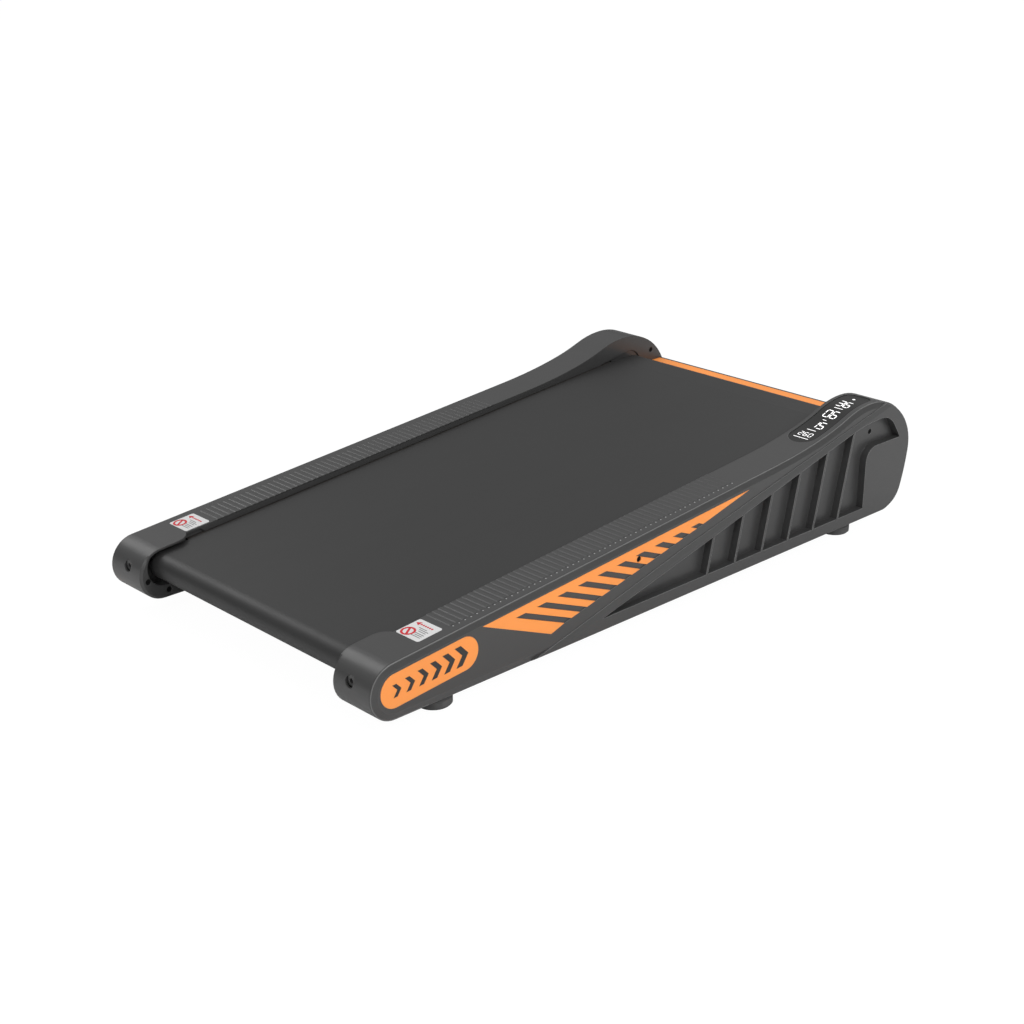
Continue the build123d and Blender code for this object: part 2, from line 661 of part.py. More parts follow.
def front_cover():
    """The cover between the humps, with a ledge behind the belt and a well for the mains inlet."""
    outer = cover_outline()
    x = LEDGE_BACK_X
    inner = offset(outer, amount=-WALL) + polygon((x - 1, 0), (x - 1, LEDGE_Z - 12), (x + 9, LEDGE_Z - 12),
                                                  (x + 9, UNDERSIDE + WALL), (x - 1, UNDERSIDE + WALL))
    half = INNER_FACE - GAP
    shell = side_view(outer - inner, -half, half)
    shell -= box(x - 1, x + WALL, -half - 1, half + 1, 0, LEDGE_Z - 12)
    y0, y1 = WELL_Y
    well = box(WELL_X - WALL, 520, y0 - WALL, y1 + WALL, WELL_Z[0] - WALL, WELL_Z[1] + WALL)
    shell += well & side_view(outer, -half, half)
    shell -= box(WELL_X, 520, y0, y1, *WELL_Z)
    shell -= side_view(strip_outline(), -half - 1, half + 1)
    z = sum(WELL_Z) / 2
    shell -= box(WELL_X - 4, WELL_X + 1, INLET_Y - 13.5, INLET_Y + 13.5, z - 9.5, z + 9.5)
    shell -= box(WELL_X - 4, WELL_X + 1, SWITCH_Y - 7, SWITCH_Y + 7, z - 11, z + 11)
    return shell - along_x(6, WELL_X - 4, WELL_X + 1, BREAKER_Y, z)


def along_x(radius, x_from, x_to, y, z):
    return Pos((x_from + x_to) / 2, y, z) * Rot(0, 90, 0) * Cylinder(radius, x_to - x_from)


def strip_outline():
    x0, x1 = STRIP_X
    return polygon((x0, LEDGE_Z - 1), (x1, LEDGE_Z - 1), (x1, LEDGE_Z + 0.3), (x0, LEDGE_Z + 0.3))


def front_strip():
    return side_view(strip_outline(), -INNER_FACE + GAP, INNER_FACE - GAP)


def belly_pan():
    """The sheet under the motor and the electronics."""
    half = INNER_FACE - 1
    pan = box(244, LEDGE_BACK_X, -half, half, UNDERSIDE, UNDERSIDE + 2)
    rim = box(244, 246, -half, half, UNDERSIDE + 2, UNDERSIDE + 10)
    vents = [box(262 + 10 * i, 266 + 10 * i, -150, -90, 0, 60) for i in range(6)]
    pan = pan + rim
    for vent in vents:
        pan -= vent
    return pan


def control_housing():
    """An open-topped tray for the motor controller, with cooling fins on one side."""
    tray = box(282, 362, 30, 160, UNDERSIDE + 2, 60) - box(284, 360, 32, 158, UNDERSIDE + 4, 61)
    fins = [box(362, 368, 38 + 12 * i, 41 + 12 * i, UNDERSIDE + 4, 58) for i in range(10)]
    for fin in fins:
        tray += fin
    return tray


def control_board():
    board = box(285, 359, 33, 157, 36, 37.6)
    board += Pos(300, 60, 45) * Cylinder(8, 16)
    board += Pos(300, 84, 45) * Cylinder(8, 16)
    board += box(318, 350, 50, 80, 37.6, 50)
    board += box(312, 350, 100, 140, 37.6, 46)
    return board


def inlet():
    """A three-pin appliance inlet, set in the front cover's well."""
    z = sum(WELL_Z) / 2
    solid = box(WELL_X, WELL_X + 2.5, INLET_Y - 16, INLET_Y + 16, z - 13, z + 13)
    solid += box(WELL_X - 18, WELL_X, INLET_Y - 13.5, INLET_Y + 13.5, z - 9.5, z + 9.5)
    solid -= box(WELL_X - 15, WELL_X + 3, INLET_Y - 12, INLET_Y + 12, z - 8, z + 8)
    for dy, dz in ((-7, -4), (0, 0), (7, -4)):
        solid += box(WELL_X - 16, WELL_X - 1, INLET_Y + dy - 1, INLET_Y + dy + 1, z + dz - 2, z + dz + 2)
    return solid


def switch_housing():
    z = sum(WELL_Z) / 2
    solid = box(WELL_X, WELL_X + 1.5, SWITCH_Y - 9, SWITCH_Y + 9, z - 13.5, z + 13.5)
    solid += box(WELL_X - 16, WELL_X, SWITCH_Y - 7, SWITCH_Y + 7, z - 11, z + 11)
    return solid - box(WELL_X - 9, WELL_X + 2, SWITCH_Y - 5.6, SWITCH_Y + 5.6, z - 9.6, z + 9.6)


def switch_rocker():
    """The rocker of the power switch, which tips about a line through the middle of its bezel."""
    z = sum(WELL_Z) / 2
    x = WELL_X
    face = polygon((x - 4, z - 8.6), (x + 1.2, z - 8.9), (x + 2.2, z), (x + 4.4, z + 8.4), (x - 2, z + 8.9),
                   (x - 6, z))
    return side_view(face, SWITCH_Y - 5.2, SWITCH_Y + 5.2)


def breaker_body():
    z = sum(WELL_Z) / 2
    solid = along_x(6, WELL_X - 20, WELL_X, BREAKER_Y, z) + along_x(8, WELL_X, WELL_X + 3, BREAKER_Y, z)
    return solid - along_x(3.6, WELL_X - 14, WELL_X + 4, BREAKER_Y, z)


def breaker_button():
    z = sum(WELL_Z) / 2
    return along_x(3.5, WELL_X - 9, WELL_X + 6, BREAKER_Y, z)


def display_lens():
    """The dark window, let into the top of the right hump and bent to its line."""
    layer = inset_outline(LENS_TOP) - inset_outline(LENS_BOTTOM)
    return side_view(layer, -SEAM, -INNER_FACE) & display_prism(GAP / 2)


def display_board():
    """The board under the window with its block of digits."""
    middle = (347, sum(DISPLAY_Y) / 2, 167.5)
    board = Box(100, 32, 1.6) + Pos(0, 0, 3.3) * Box(92, 22, 5)
    return Pos(*middle) * Rot(0, -13.5, 0) * board


def right_rail_cover():
    """The rail cover with the drive: a wider axle hole, a hole for the motor's shaft and the window."""
    cover = rail_cover(14) - across(9, MOTOR_AXIS, -CUP_FLOOR - WALL - 1, -INNER_FACE + 1)
    cover -= display_prism(0) - side_view(inset_outline(LENS_BOTTOM), -300, -100)
    return cover - (display_prism(3) - side_view(inset_outline(WALL + 1), -300, -100))


def cap_screws():
    screws = [screw(place, -CAP_INNER_FACE, 1) for place in CAP_SCREWS]
    screws.append(screw(HUMP_SCREW, -INNER_FACE, 1))
    return screws + [mirrored(s) for s in screws]


def panel_screws():
    screws = [screw(CORNER_SCREW, -HALF_WIDTH + RECESS_DEPTH, -1)]
    screws.append(screw(ACCENT_SCREW, -PANEL_FACE - INLAY_PROUD, -1))
    return screws + [mirrored(s) for s in screws]


def group(solids):
    return Compound(children=list(solids))


def build():
    """Every node of the machine, by name."""
    nodes = {}
    pairs = {
        "rail_cover": (right_rail_cover(), mirrored(rail_cover(AXLE_RADIUS + 1))),
        "side_panel": both_sides(side_panel()),
        "accent_panel": both_sides(accent_panel()),
        "badge": both_sides(badge()),
        "label": both_sides(label()),
        "side_beam": both_sides(side_beam()),
        "front_bracket": both_sides(front_bracket()),
        "rear_bracket": both_sides(rear_bracket()),
        "axle_block": both_sides(axle_block()),
    }
    for name, (right, left) in pairs.items():
        nodes["right_" + name] = right
        nodes["left_" + name] = left
    for end, x in (("rear", REAR_FOOT_X), ("front", FRONT_FOOT_X)):
        right_foot = Pos(x, -FOOT_Y, 0) * foot()
        nodes["right_" + end + "_foot"] = right_foot
        nodes["left_" + end + "_foot"] = mirrored(right_foot)
    nodes["foot_studs"] = group(foot_studs())
    nodes["rear_crossmember"] = crossmember(REAR_FOOT_X, 34)
    nodes["middle_crossmember"] = crossmember(0, 65)
    nodes["front_crossmember"] = crossmember(345, 94)
    nodes["base_crossmember"] = crossmember(BASE_X, UNDERSIDE + WALL, 6, 50)
    nodes["deck_board"] = deck_board()
    nodes["deck_cushions"] = group(deck_cushions())
    nodes["deck_screws"] = group(deck_screws())
    nodes["running_belt"] = running_belt()
    rollers = (("rear", REAR_ROLLER_RADIUS, REAR_AXIS), ("front", FRONT_ROLLER_RADIUS, FRONT_AXIS))
    for end, radius, axis in rollers:
        nodes[end + "_roller_tube"] = roller_tube(radius, axis)
        nodes[end + "_roller_bearings"] = group(roller_bearings(radius, axis))
        nodes[end + "_roller_axle"] = roller_axle(axis)
    nodes["rear_axle_bolts"] = group(axle_bolts(REAR_AXIS, WALL))
    nodes["front_axle_bolts"] = group(axle_bolts(FRONT_AXIS, PLATE))
    nodes["tension_bolts"] = group(both_sides(tension_bolt()))
    nodes["drive_pulley"] = drive_pulley()
    nodes["drive_belt"] = drive_belt()
    nodes["motor_pulley"] = motor_pulley()
    nodes["motor_shaft"] = motor_shaft()
    nodes["drive_motor"] = drive_motor()
    nodes["motor_bracket"] = motor_bracket()
    nodes["front_cover"] = front_cover()
    nodes["front_strip"] = front_strip()
    nodes["belly_pan"] = belly_pan()
    nodes["control_housing"] = control_housing()
    nodes["control_board"] = control_board()
    nodes["mains_inlet"] = inlet()
    nodes["switch_housing"] = switch_housing()
    nodes["switch_rocker"] = switch_rocker()
    nodes["breaker_body"] = breaker_body()
    nodes["breaker_button"] = breaker_button()
    nodes["display_lens"] = display_lens()
    nodes["display_board"] = display_board()
    nodes["cap_screws"] = group(cap_screws())
    nodes["panel_screws"] = group(panel_screws())
    return nodes


os.makedirs("parts", exist_ok=True)
for node, shape in build().items():
    export_step(shape, "parts/" + node + ".step")
    print(node, round(shape.volume / 1000, 2), "cm3")
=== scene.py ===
import json
import math

import bpy
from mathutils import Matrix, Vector


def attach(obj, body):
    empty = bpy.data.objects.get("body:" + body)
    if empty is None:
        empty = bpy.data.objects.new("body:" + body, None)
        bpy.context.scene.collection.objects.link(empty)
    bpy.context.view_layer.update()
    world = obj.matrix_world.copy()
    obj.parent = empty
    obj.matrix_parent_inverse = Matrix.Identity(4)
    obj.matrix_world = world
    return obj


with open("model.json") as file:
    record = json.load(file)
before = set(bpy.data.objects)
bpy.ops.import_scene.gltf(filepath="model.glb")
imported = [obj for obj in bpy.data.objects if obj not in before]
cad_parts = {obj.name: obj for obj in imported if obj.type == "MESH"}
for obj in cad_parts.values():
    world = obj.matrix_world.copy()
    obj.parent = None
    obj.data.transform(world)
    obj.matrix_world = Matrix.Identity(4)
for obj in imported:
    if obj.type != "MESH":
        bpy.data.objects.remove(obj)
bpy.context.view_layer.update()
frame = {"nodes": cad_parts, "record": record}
nodes = frame["nodes"]
mm = 0.001


def pickOnly(piece):
    if bpy.context.object and bpy.context.object.mode != "OBJECT":
        bpy.ops.object.mode_set(mode="OBJECT")
    bpy.ops.object.select_all(action="DESELECT")
    piece.select_set(True)
    bpy.context.view_layer.objects.active = piece


def joinAll(pieces, name):
    bpy.ops.object.select_all(action="DESELECT")
    for piece in pieces:
        piece.select_set(True)
    bpy.context.view_layer.objects.active = pieces[0]
    if len(pieces) > 1:
        bpy.ops.object.join()
    joined = bpy.context.object
    joined.name = name
    return joined


def settle(piece):  # puts the piece's place into its mesh
    pickOnly(piece)
    bpy.ops.object.transform_apply(location=True, rotation=True, scale=True)


def applied(piece, kind, **settings):
    pickOnly(piece)
    modifier = piece.modifiers.new(kind.title(), kind)
    for key, value in settings.items():
        setattr(modifier, key, value)
    bpy.ops.object.modifier_apply(modifier=modifier.name)


def dress(piece, finish):
    piece.data.materials.clear()
    piece.data.materials.append(finish)


def surfaceBelow(node, x, y):
    hit, place, normal, face = nodes[node].ray_cast(Vector((x, y, 1)), Vector((0, 0, -1)))
    return place.z if hit else None


def layOn(piece, node, lift):  # drops each point of a flat piece on the surface under it
    for point in piece.data.vertices:
        height = surfaceBelow(node, point.co.x, point.co.y)
        if height is not None:
            point.co.z = height + lift


def sideName(side):  # -1 is the walker's right, 1 the left
    return "right" if side < 0 else "left"


class Flow:  # a shader value that takes part in sums
    def __init__(self, tree, socket):
        self.tree = tree
        self.socket = socket

    def maths(self, operation, other, flipped=False):
        made = self.tree.nodes.new("ShaderNodeMath")
        made.operation = operation
        pair = (other, self) if flipped else (self, other)
        for entry, value in zip(made.inputs, pair):
            feed(self.tree, entry, value)
        return Flow(self.tree, made.outputs[0])

    def __add__(self, other):
        return self.maths("ADD", other)

    def __radd__(self, other):
        return self.maths("ADD", other, True)

    def __sub__(self, other):
        return self.maths("SUBTRACT", other)

    def __rsub__(self, other):
        return self.maths("SUBTRACT", other, True)

    def __mul__(self, other):
        return self.maths("MULTIPLY", other)

    def __rmul__(self, other):
        return self.maths("MULTIPLY", other, True)


def feed(tree, entry, value):
    if isinstance(value, Flow):
        tree.links.new(value.socket, entry)
    else:
        entry.default_value = value


class Finish:  # the node tree of one material, or of the sky
    def __init__(self, block, shader="Principled BSDF"):
        self.block = block
        self.block.use_nodes = True
        self.tree = self.block.node_tree
        self.shader = self.tree.nodes[shader]

    def node(self, kind, settings=None, inputs=None, output=0):
        made = self.tree.nodes.new(kind)
        for key, value in (settings or {}).items():
            setattr(made, key, value)
        for key, value in (inputs or {}).items():
            feed(self.tree, made.inputs[key], value)
        return Flow(self.tree, made.outputs[output])

    def where(self, stretch=None):
        place = self.node("ShaderNodeTexCoord", output="Object")
        if stretch is None:
            return place
        return self.node("ShaderNodeMapping", inputs={"Vector": place, "Scale": stretch})

    def noise(self, scale, detail, stretch=None):
        return self.node("ShaderNodeTexNoise", inputs={
            "Vector": self.where(stretch), "Scale": scale, "Detail": detail})

    def mix(self, factor, one, two):
        return self.node("ShaderNodeMix", {"data_type": "RGBA"}, {0: factor, 6: one, 7: two}, output=2)

    def rounded(self, radius):
        return self.node("ShaderNodeBevel", {"samples": 6}, {"Radius": radius})

    def bump(self, height, distance, strength, under=None):
        inputs = {"Height": height, "Distance": distance, "Strength": strength}
        if under is not None:
            inputs["Normal"] = under
        return self.node("ShaderNodeBump", inputs=inputs)

    def set(self, values):
        for key, value in values.items():
            feed(self.tree, self.shader.inputs[key], value)
        return self.block


def newFinish(name):
    return Finish(bpy.data.materials.new(name))


def grey(level):
    return (level, level, level, 1.0)


def scaled(colour, gain):
    return tuple(gain * part for part in colour[:3]) + (1.0,)


plasticLook = {
    "grainSize": 0.55 * mm,
    "grainDepth": 0.02 * mm,
    "grainStrength": 0.6,
    "cloudScale": 7.0,
    "rubScale": 60,
    "rubStretch": (1, 1, 6),
    "cloudShare": 0.7,
    "grainShare": 0.3,
    "deep": 0.9,
    "pale": 1.12,
    "edgeRadius": 1.2 * mm,
    # the three lines below set the painted highlight on convex edges: how far the corner test reaches,
    # how open an edge must be, and how much lighter it is painted
    "edgeReach": 4 * mm,
    "edgeShelter": 0.75,  # an edge in a corner more sheltered than this gets no painted highlight
    "edgeHighlightGain": 4.5,
    "cloudRoughness": 0.12,
    "rubRoughness": 0.08,
}


def mouldedPlastic(name, colour, roughness, depth=1.0, edgeHighlightShare=0.0):
    look = plasticLook
    finish = newFinish(name)
    grain = finish.noise(1 / look["grainSize"], 3)
    cloud = finish.noise(look["cloudScale"], 4)
    rub = finish.noise(look["rubScale"], 5, look["rubStretch"])
    edges = finish.rounded(look["edgeRadius"])
    flat = finish.node("ShaderNodeNewGeometry", output="Normal")
    bend = finish.node("ShaderNodeVectorMath", {"operation": "DOT_PRODUCT"}, {0: edges, 1: flat}, "Value")
    openness = finish.node(
        "ShaderNodeAmbientOcclusion", {"samples": 6, "only_local": True},
        {"Distance": look["edgeReach"]}, "AO")
    patches = cloud * look["cloudShare"] + grain * look["grainShare"]
    body = finish.mix(patches, scaled(colour, look["deep"]), scaled(colour, look["pale"]))
    # painted highlight: open convex edges get a lighter base colour that stands for light caught on
    # rounded edges
    paintedEdgeHighlight = (1 - bend) * edgeHighlightShare * (openness - look["edgeShelter"])
    wear = (cloud - 0.5) * look["cloudRoughness"] + (rub - 0.5) * look["rubRoughness"]
    return finish.set({
        "Base Color": finish.mix(paintedEdgeHighlight, body, scaled(colour, look["edgeHighlightGain"])),
        "Roughness": roughness + wear,
        "Normal": finish.bump(grain, look["grainDepth"] * depth, look["grainStrength"], edges)})


beltLook = {
    "weaveScale": 900,
    "weaveDepth": 0.06 * mm,
    "weaveStrength": 0.5,
    "cloudScale": 5,
    "cloudShare": 0.6,
    "weaveShare": 0.4,
    "treadScale": 9,
    "treadStretch": (0.4, 1, 1),
    "deep": 0.88,
    "pale": 1.1,
    "roughness": 0.5,
    "treadRoughness": 0.14,
}


def beltSurface(name, colour):
    look = beltLook
    finish = newFinish(name)
    weave = finish.node("ShaderNodeTexVoronoi", inputs={
        "Vector": finish.where(), "Scale": look["weaveScale"]})
    cloud = finish.noise(look["cloudScale"], 4)
    tread = finish.noise(look["treadScale"], 3, look["treadStretch"])
    patches = cloud * look["cloudShare"] + weave * look["weaveShare"]
    return finish.set({
        "Base Color": finish.mix(patches, scaled(colour, look["deep"]), scaled(colour, look["pale"])),
        "Roughness": look["roughness"] + (tread - 0.5) * look["treadRoughness"],
        "Normal": finish.bump(weave, look["weaveDepth"], look["weaveStrength"])})


rubberLook = {
    "grainScale": 1400,
    "grainDepth": 0.05 * mm,
    "grainStrength": 0.5,
    "dustScale": 30,
    "dustGain": 1.7,
    "roughness": 0.7,
    "dustRoughness": 0.2,
    "edgeRadius": 0.8 * mm,
}


def softRubber(name, colour):
    look = rubberLook
    finish = newFinish(name)
    grain = finish.noise(look["grainScale"], 3)
    dust = finish.noise(look["dustScale"], 4)
    return finish.set({
        "Base Color": finish.mix(dust, colour, scaled(colour, look["dustGain"])),
        "Roughness": look["roughness"] + dust * look["dustRoughness"],
        "Normal": finish.bump(
            grain, look["grainDepth"], look["grainStrength"], finish.rounded(look["edgeRadius"]))})


metalLook = {
    "lineScale": 260,
    "lineDepth": 0.03 * mm,
    "lineStrength": 0.35,
    "lineRoughness": 0.22,
    "cloudScale": 22,
    "deep": 0.82,
    "edgeRadius": 0.4 * mm,
}


def metalSurface(name, colour, roughness, stretch):
    look = metalLook
    finish = newFinish(name)
    lines = finish.noise(look["lineScale"], 4, stretch)
    cloud = finish.noise(look["cloudScale"], 3)
    finish.set({"Metallic": 1.0})
    return finish.set({
        "Base Color": finish.mix(cloud, scaled(colour, look["deep"]), colour),
        "Roughness": roughness + (lines - 0.5) * look["lineRoughness"],
        "Normal": finish.bump(
            lines, look["lineDepth"], look["lineStrength"], finish.rounded(look["edgeRadius"]))})


paintLook = {
    "peelScale": 520,
    "peelDepth": 0.08 * mm,
    "peelStrength": 0.4,
    "cloudScale": 16,
    "pale": 1.3,
    "roughness": 0.42,
    "cloudRoughness": 0.15,
    "edgeRadius": 0.5 * mm,
}


def paintedSteel(name, colour):
    look = paintLook
    finish = newFinish(name)
    peel = finish.noise(look["peelScale"], 2)
    cloud = finish.noise(look["cloudScale"], 3)
    return finish.set({
        "Base Color": finish.mix(cloud, colour, scaled(colour, look["pale"])),
        "Roughness": look["roughness"] + (cloud - 0.5) * look["cloudRoughness"],
        "Normal": finish.bump(
            peel, look["peelDepth"], look["peelStrength"], finish.rounded(look["edgeRadius"]))})


screwLook = {
    "cloudScale": 300,
    "deep": 0.002,
    "pale": 0.006,
    "shine": 0.15,
    "roughness": 0.5,
    "cloudRoughness": 0.2,
}


def darkScrew(name):
    look = screwLook
    finish = newFinish(name)
    cloud = finish.noise(look["cloudScale"], 3)
    finish.set({"Specular IOR Level": look["shine"]})
    return finish.set({
        "Base Color": finish.mix(cloud, grey(look["deep"]), grey(look["pale"])),
        "Roughness": look["roughness"] + cloud * look["cloudRoughness"]})


windowLook = {
    "smearScale": 28,
    "smearStretch": (1, 3, 1),
    "deep": 0.009,
    "pale": 0.015,
    "shine": 0.3,
    "roughness": 0.16,
    "smearRoughness": 0.08,
    "coat": 0.2,
    "smearCoat": 0.1,
    "coatRoughness": 0.12,
}


def glossWindow(name):
    look = windowLook
    finish = newFinish(name)
    smear = finish.noise(look["smearScale"], 4, look["smearStretch"])
    finish.set({"Coat Roughness": look["coatRoughness"], "Specular IOR Level": look["shine"]})
    return finish.set({
        "Base Color": finish.mix(smear, grey(look["deep"]), grey(look["pale"])),
        "Roughness": look["roughness"] + smear * look["smearRoughness"],
        "Coat Weight": look["coat"] - smear * look["smearCoat"]})


boardLook = {
    "trackScale": 180,
    "trackDepth": 0.05 * mm,
    "trackStrength": 0.5,
    "trackShade": 0.6,
    "cloudScale": 40,
    "roughness": 0.4,
    "cloudRoughness": 0.1,
    "deep": (0.01, 0.09, 0.035, 1),
    "pale": (0.02, 0.16, 0.07, 1),
}


def circuitBoard(name):
    look = boardLook
    finish = newFinish(name)
    tracks = finish.node("ShaderNodeTexBrick", inputs={
        "Vector": finish.where(), "Scale": look["trackScale"], "Color1": grey(1),
        "Color2": grey(look["trackShade"]), "Mortar": grey(0)})
    cloud = finish.noise(look["cloudScale"], 3)
    return finish.set({
        "Base Color": finish.mix(cloud, look["deep"], look["pale"]),
        "Roughness": look["roughness"] + cloud * look["cloudRoughness"],
        "Normal": finish.bump(tracks, look["trackDepth"], look["trackStrength"])})


fibreLook = {
    "fibreScale": 140,
    "fibreStretch": (0.2, 1, 1),
    "fibreDepth": 0.08 * mm,
    "fibreStrength": 0.4,
    "roughness": 0.55,
    "fibreRoughness": 0.2,
    "deep": (0.02, 0.018, 0.016, 1),
    "pale": (0.045, 0.04, 0.036, 1),
}


def deckFibre(name):
    look = fibreLook
    finish = newFinish(name)
    fibre = finish.noise(look["fibreScale"], 6, look["fibreStretch"])
    return finish.set({
        "Base Color": finish.mix(fibre, look["deep"], look["pale"]),
        "Roughness": look["roughness"] + fibre * look["fibreRoughness"],
        "Normal": finish.bump(fibre, look["fibreDepth"], look["fibreStrength"])})


segmentLook = {
    "flickerScale": 700,
    "deep": 0.75,
    "pale": 0.85,
    "dimGlow": 0.62,
    "glow": 0.75,
    "strength": 1.5,
    "roughness": 0.4,
}


def litSegments(name):
    look = segmentLook
    finish = newFinish(name)
    flicker = finish.noise(look["flickerScale"], 2)
    finish.set({"Emission Strength": look["strength"], "Roughness": look["roughness"]})
    return finish.set({
        "Base Color": finish.mix(flicker, grey(look["deep"]), grey(look["pale"])),
        "Emission Color": finish.mix(flicker, grey(look["dimGlow"]), grey(look["glow"]))})


inkLook = {
    "speckScale": 900,
    "speckDepth": 0.02 * mm,
    "speckStrength": 0.3,
    "deep": 0.88,
    "speckRoughness": 0.1,
}


def printedInk(name, colour, roughness=0.5):
    look = inkLook
    finish = newFinish(name)
    speck = finish.noise(look["speckScale"], 3)
    return finish.set({
        "Base Color": finish.mix(speck, scaled(colour, look["deep"]), colour),
        "Roughness": roughness + (speck - 0.5) * look["speckRoughness"],
        "Normal": finish.bump(speck, look["speckDepth"], look["speckStrength"])})


finishes = {
    # the rail and side plastics get a painted highlight along their convex edges
    "rail_plastic": mouldedPlastic("railPlastic", grey(0.049), 0.38, edgeHighlightShare=0.2),
    "side_plastic": mouldedPlastic("sidePlastic", grey(0.046), 0.36, edgeHighlightShare=40.0),
    "orange_plastic": mouldedPlastic("orangePlastic", (1.0, 0.33, 0.065, 1), 0.5, 0.5),
    "label_plastic": printedInk("labelFilm", grey(0.72), 0.4),
    "frame_steel": paintedSteel("frameSteel", grey(0.02)),
    "zinc_steel": metalSurface("zincSteel", grey(0.5), 0.35, (1, 1, 1)),
    "foot_rubber": softRubber("footRubber", grey(0.08)),
    "screw_black": darkScrew("screwBlack"),
    "deck_wood": deckFibre("deckFibre"),
    "belt_rubber": beltSurface("beltSurface", grey(0.02)),
    "roller_steel": metalSurface("rollerSteel", grey(0.45), 0.28, (8, 1, 8)),
    "pulley_aluminium": metalSurface("pulleyAluminium", grey(0.6), 0.32, (1, 8, 1)),
    "drive_rubber": softRubber("driveRubber", grey(0.015)),
    "motor_paint": paintedSteel("motorPaint", grey(0.03)),
    "black_plastic": mouldedPlastic("blackPlastic", grey(0.02), 0.4),
    "button_plastic": mouldedPlastic("buttonPlastic", (0.5, 0.03, 0.02, 1), 0.35),
    "board_plastic": circuitBoard("circuitBoard"),
    "lens_plastic": glossWindow("displayWindow"),
}
ownFinishes = {"tension_bolts": mouldedPlastic("boltHead", grey(0.05), 0.45)}  # nodes unlike their slot
for entry in frame["record"]["subparts"]:
    for place in nodes[entry["node"]].material_slots:
        place.material = ownFinishes.get(entry["node"], finishes[entry["material_slot"]])
print("finishes are on the frame's nodes")


strokePlan = {"drawnAt": 0.2, "cornerCut": 0.3}  # metres above the floor; share of the narrow side


def flatBar(x, y, alongX, alongY):  # a flat stroke with cut corners
    bpy.ops.mesh.primitive_plane_add(size=1, location=(x, y, strokePlan["drawnAt"]))
    bar = bpy.context.object
    bar.scale = (alongX, alongY, 1)
    settle(bar)
    bpy.ops.object.mode_set(mode="EDIT")
    bpy.ops.mesh.select_all(action="SELECT")
    bpy.ops.mesh.bevel(offset=min(alongX, alongY) * strokePlan["cornerCut"], affect="VERTICES")
    bpy.ops.object.mode_set(mode="OBJECT")
    return bar


def flatDisc(x, y, radius, corners):
    bpy.ops.mesh.primitive_circle_add(
        vertices=corners, radius=radius, fill_type="NGON", location=(x, y, strokePlan["drawnAt"]))
    made = bpy.context.object
    settle(made)
    return made


displayPlan = {
    "middleY": -226.5 * mm,
    "stroke": 1.3 * mm,
    "fineShare": 0.7,  # stroke of small figures and of the dividing bars
    "smallTall": 10,
    "gapShare": 0.15,
    "width": 0.55,
    "space": 2.7 * mm,
    "lift": 0.12 * mm,
    "thickness": 0.1 * mm,
    "rows": [(284, 9, "260"), (308, 15, "15"), (336, 15, "06"), (365, 15, "36")],  # x, height, figures
    "bars": [(278, 24), (301, 14), (329, 6), (359, 14)],  # x, length
    "dot": (393.5, 2.0),  # x, radius
    "dotCorners": 20,
}
segmentsOf = {"0": "abcdef", "1": "bc", "2": "abged", "3": "abgcd", "5": "afgcd", "6": "afgedc"}


def figureBars(figure, x, y, tall, wide, stroke):  # the figure's top points to +X and it reads to -Y
    half = tall / 2
    long = half - stroke - stroke * displayPlan["gapShare"]
    bars = {
        "a": (x + tall, y, stroke, wide - stroke),
        "b": (x + half * 1.5, y - wide / 2, long, stroke),
        "c": (x + half / 2, y - wide / 2, long, stroke),
        "d": (x, y, stroke, wide - stroke),
        "e": (x + half / 2, y + wide / 2, long, stroke),
        "f": (x + half * 1.5, y + wide / 2, long, stroke),
        "g": (x + half, y, stroke, wide - stroke),
    }
    return [flatBar(*bars[letter]) for letter in segmentsOf[figure]]


def makeDisplay():
    plan = displayPlan
    fine = plan["stroke"] * plan["fineShare"]
    bars = []
    for x, tall, figures in plan["rows"]:
        wide = tall * plan["width"] * mm
        pitch = wide + plan["space"]
        start = plan["middleY"] + pitch * (len(figures) - 1) / 2
        stroke = plan["stroke"] if tall > plan["smallTall"] else fine
        for place, figure in enumerate(figures):
            bars += figureBars(figure, x * mm, start - place * pitch, tall * mm, wide, stroke)
    for x, long in plan["bars"]:
        bars.append(flatBar(x * mm, plan["middleY"], fine, long * mm))
    x, radius = plan["dot"]
    bars.append(flatDisc(x * mm, plan["middleY"], radius * mm, plan["dotCorners"]))
    display = joinAll(bars, "display_figures")
    layOn(display, "display_lens", plan["lift"])
    applied(display, "SOLIDIFY", thickness=plan["thickness"], offset=1)
    dress(display, litSegments("litSegments"))
    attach(display, "frame")


makeDisplay()
print("display figures are made")


studPlan = {
    "rail": "right_rail_cover",
    "startX": -361.3, "pitch": 9.0, "count": 54, "y": -243.5,
    "radius": 0.9, "height": 0.45, "segments": 10, "rings": 6,
}


def makeStuds():
    plan = studPlan
    bpy.ops.mesh.primitive_uv_sphere_add(
        segments=plan["segments"], ring_count=plan["rings"], radius=plan["radius"] * mm)
    first = bpy.context.object
    first.scale = (1, 1, plan["height"] / plan["radius"])
    settle(first)
    studs = []
    for step in range(plan["count"]):
        stud = first.copy()
        stud.data = first.data.copy()
        bpy.context.collection.objects.link(stud)
        x = (plan["startX"] + step * plan["pitch"]) * mm
        y = plan["y"] * mm
        stud.location = (x, y, surfaceBelow(plan["rail"], x, y))
        studs.append(stud)
    bpy.data.objects.remove(first)
    joined = joinAll(studs, "right_ridge_studs")
    settle(joined)
    pickOnly(joined)
    bpy.ops.object.shade_smooth()
    # the studs are coloured pale grey as a painted highlight, standing for the bright glints on them
    dress(joined, printedInk("studs", grey(0.5), 0.3))
    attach(joined, "frame")


makeStuds()
print("ridge studs are made")


badgePlan = {
    "centre": (-406.5, 65.0), "slope": 5.285, "face": 256.3, "lift": 0.05, "thickness": 0.25,
    "tall": 25.0, "wide": 9.0, "point": 10.0, "pitch": 18.5, "count": 6,
    "firstSize": 0.62, "growth": 0.38,  # the chevrons grow towards the front
    "nearMiddle": 1e-5,
}


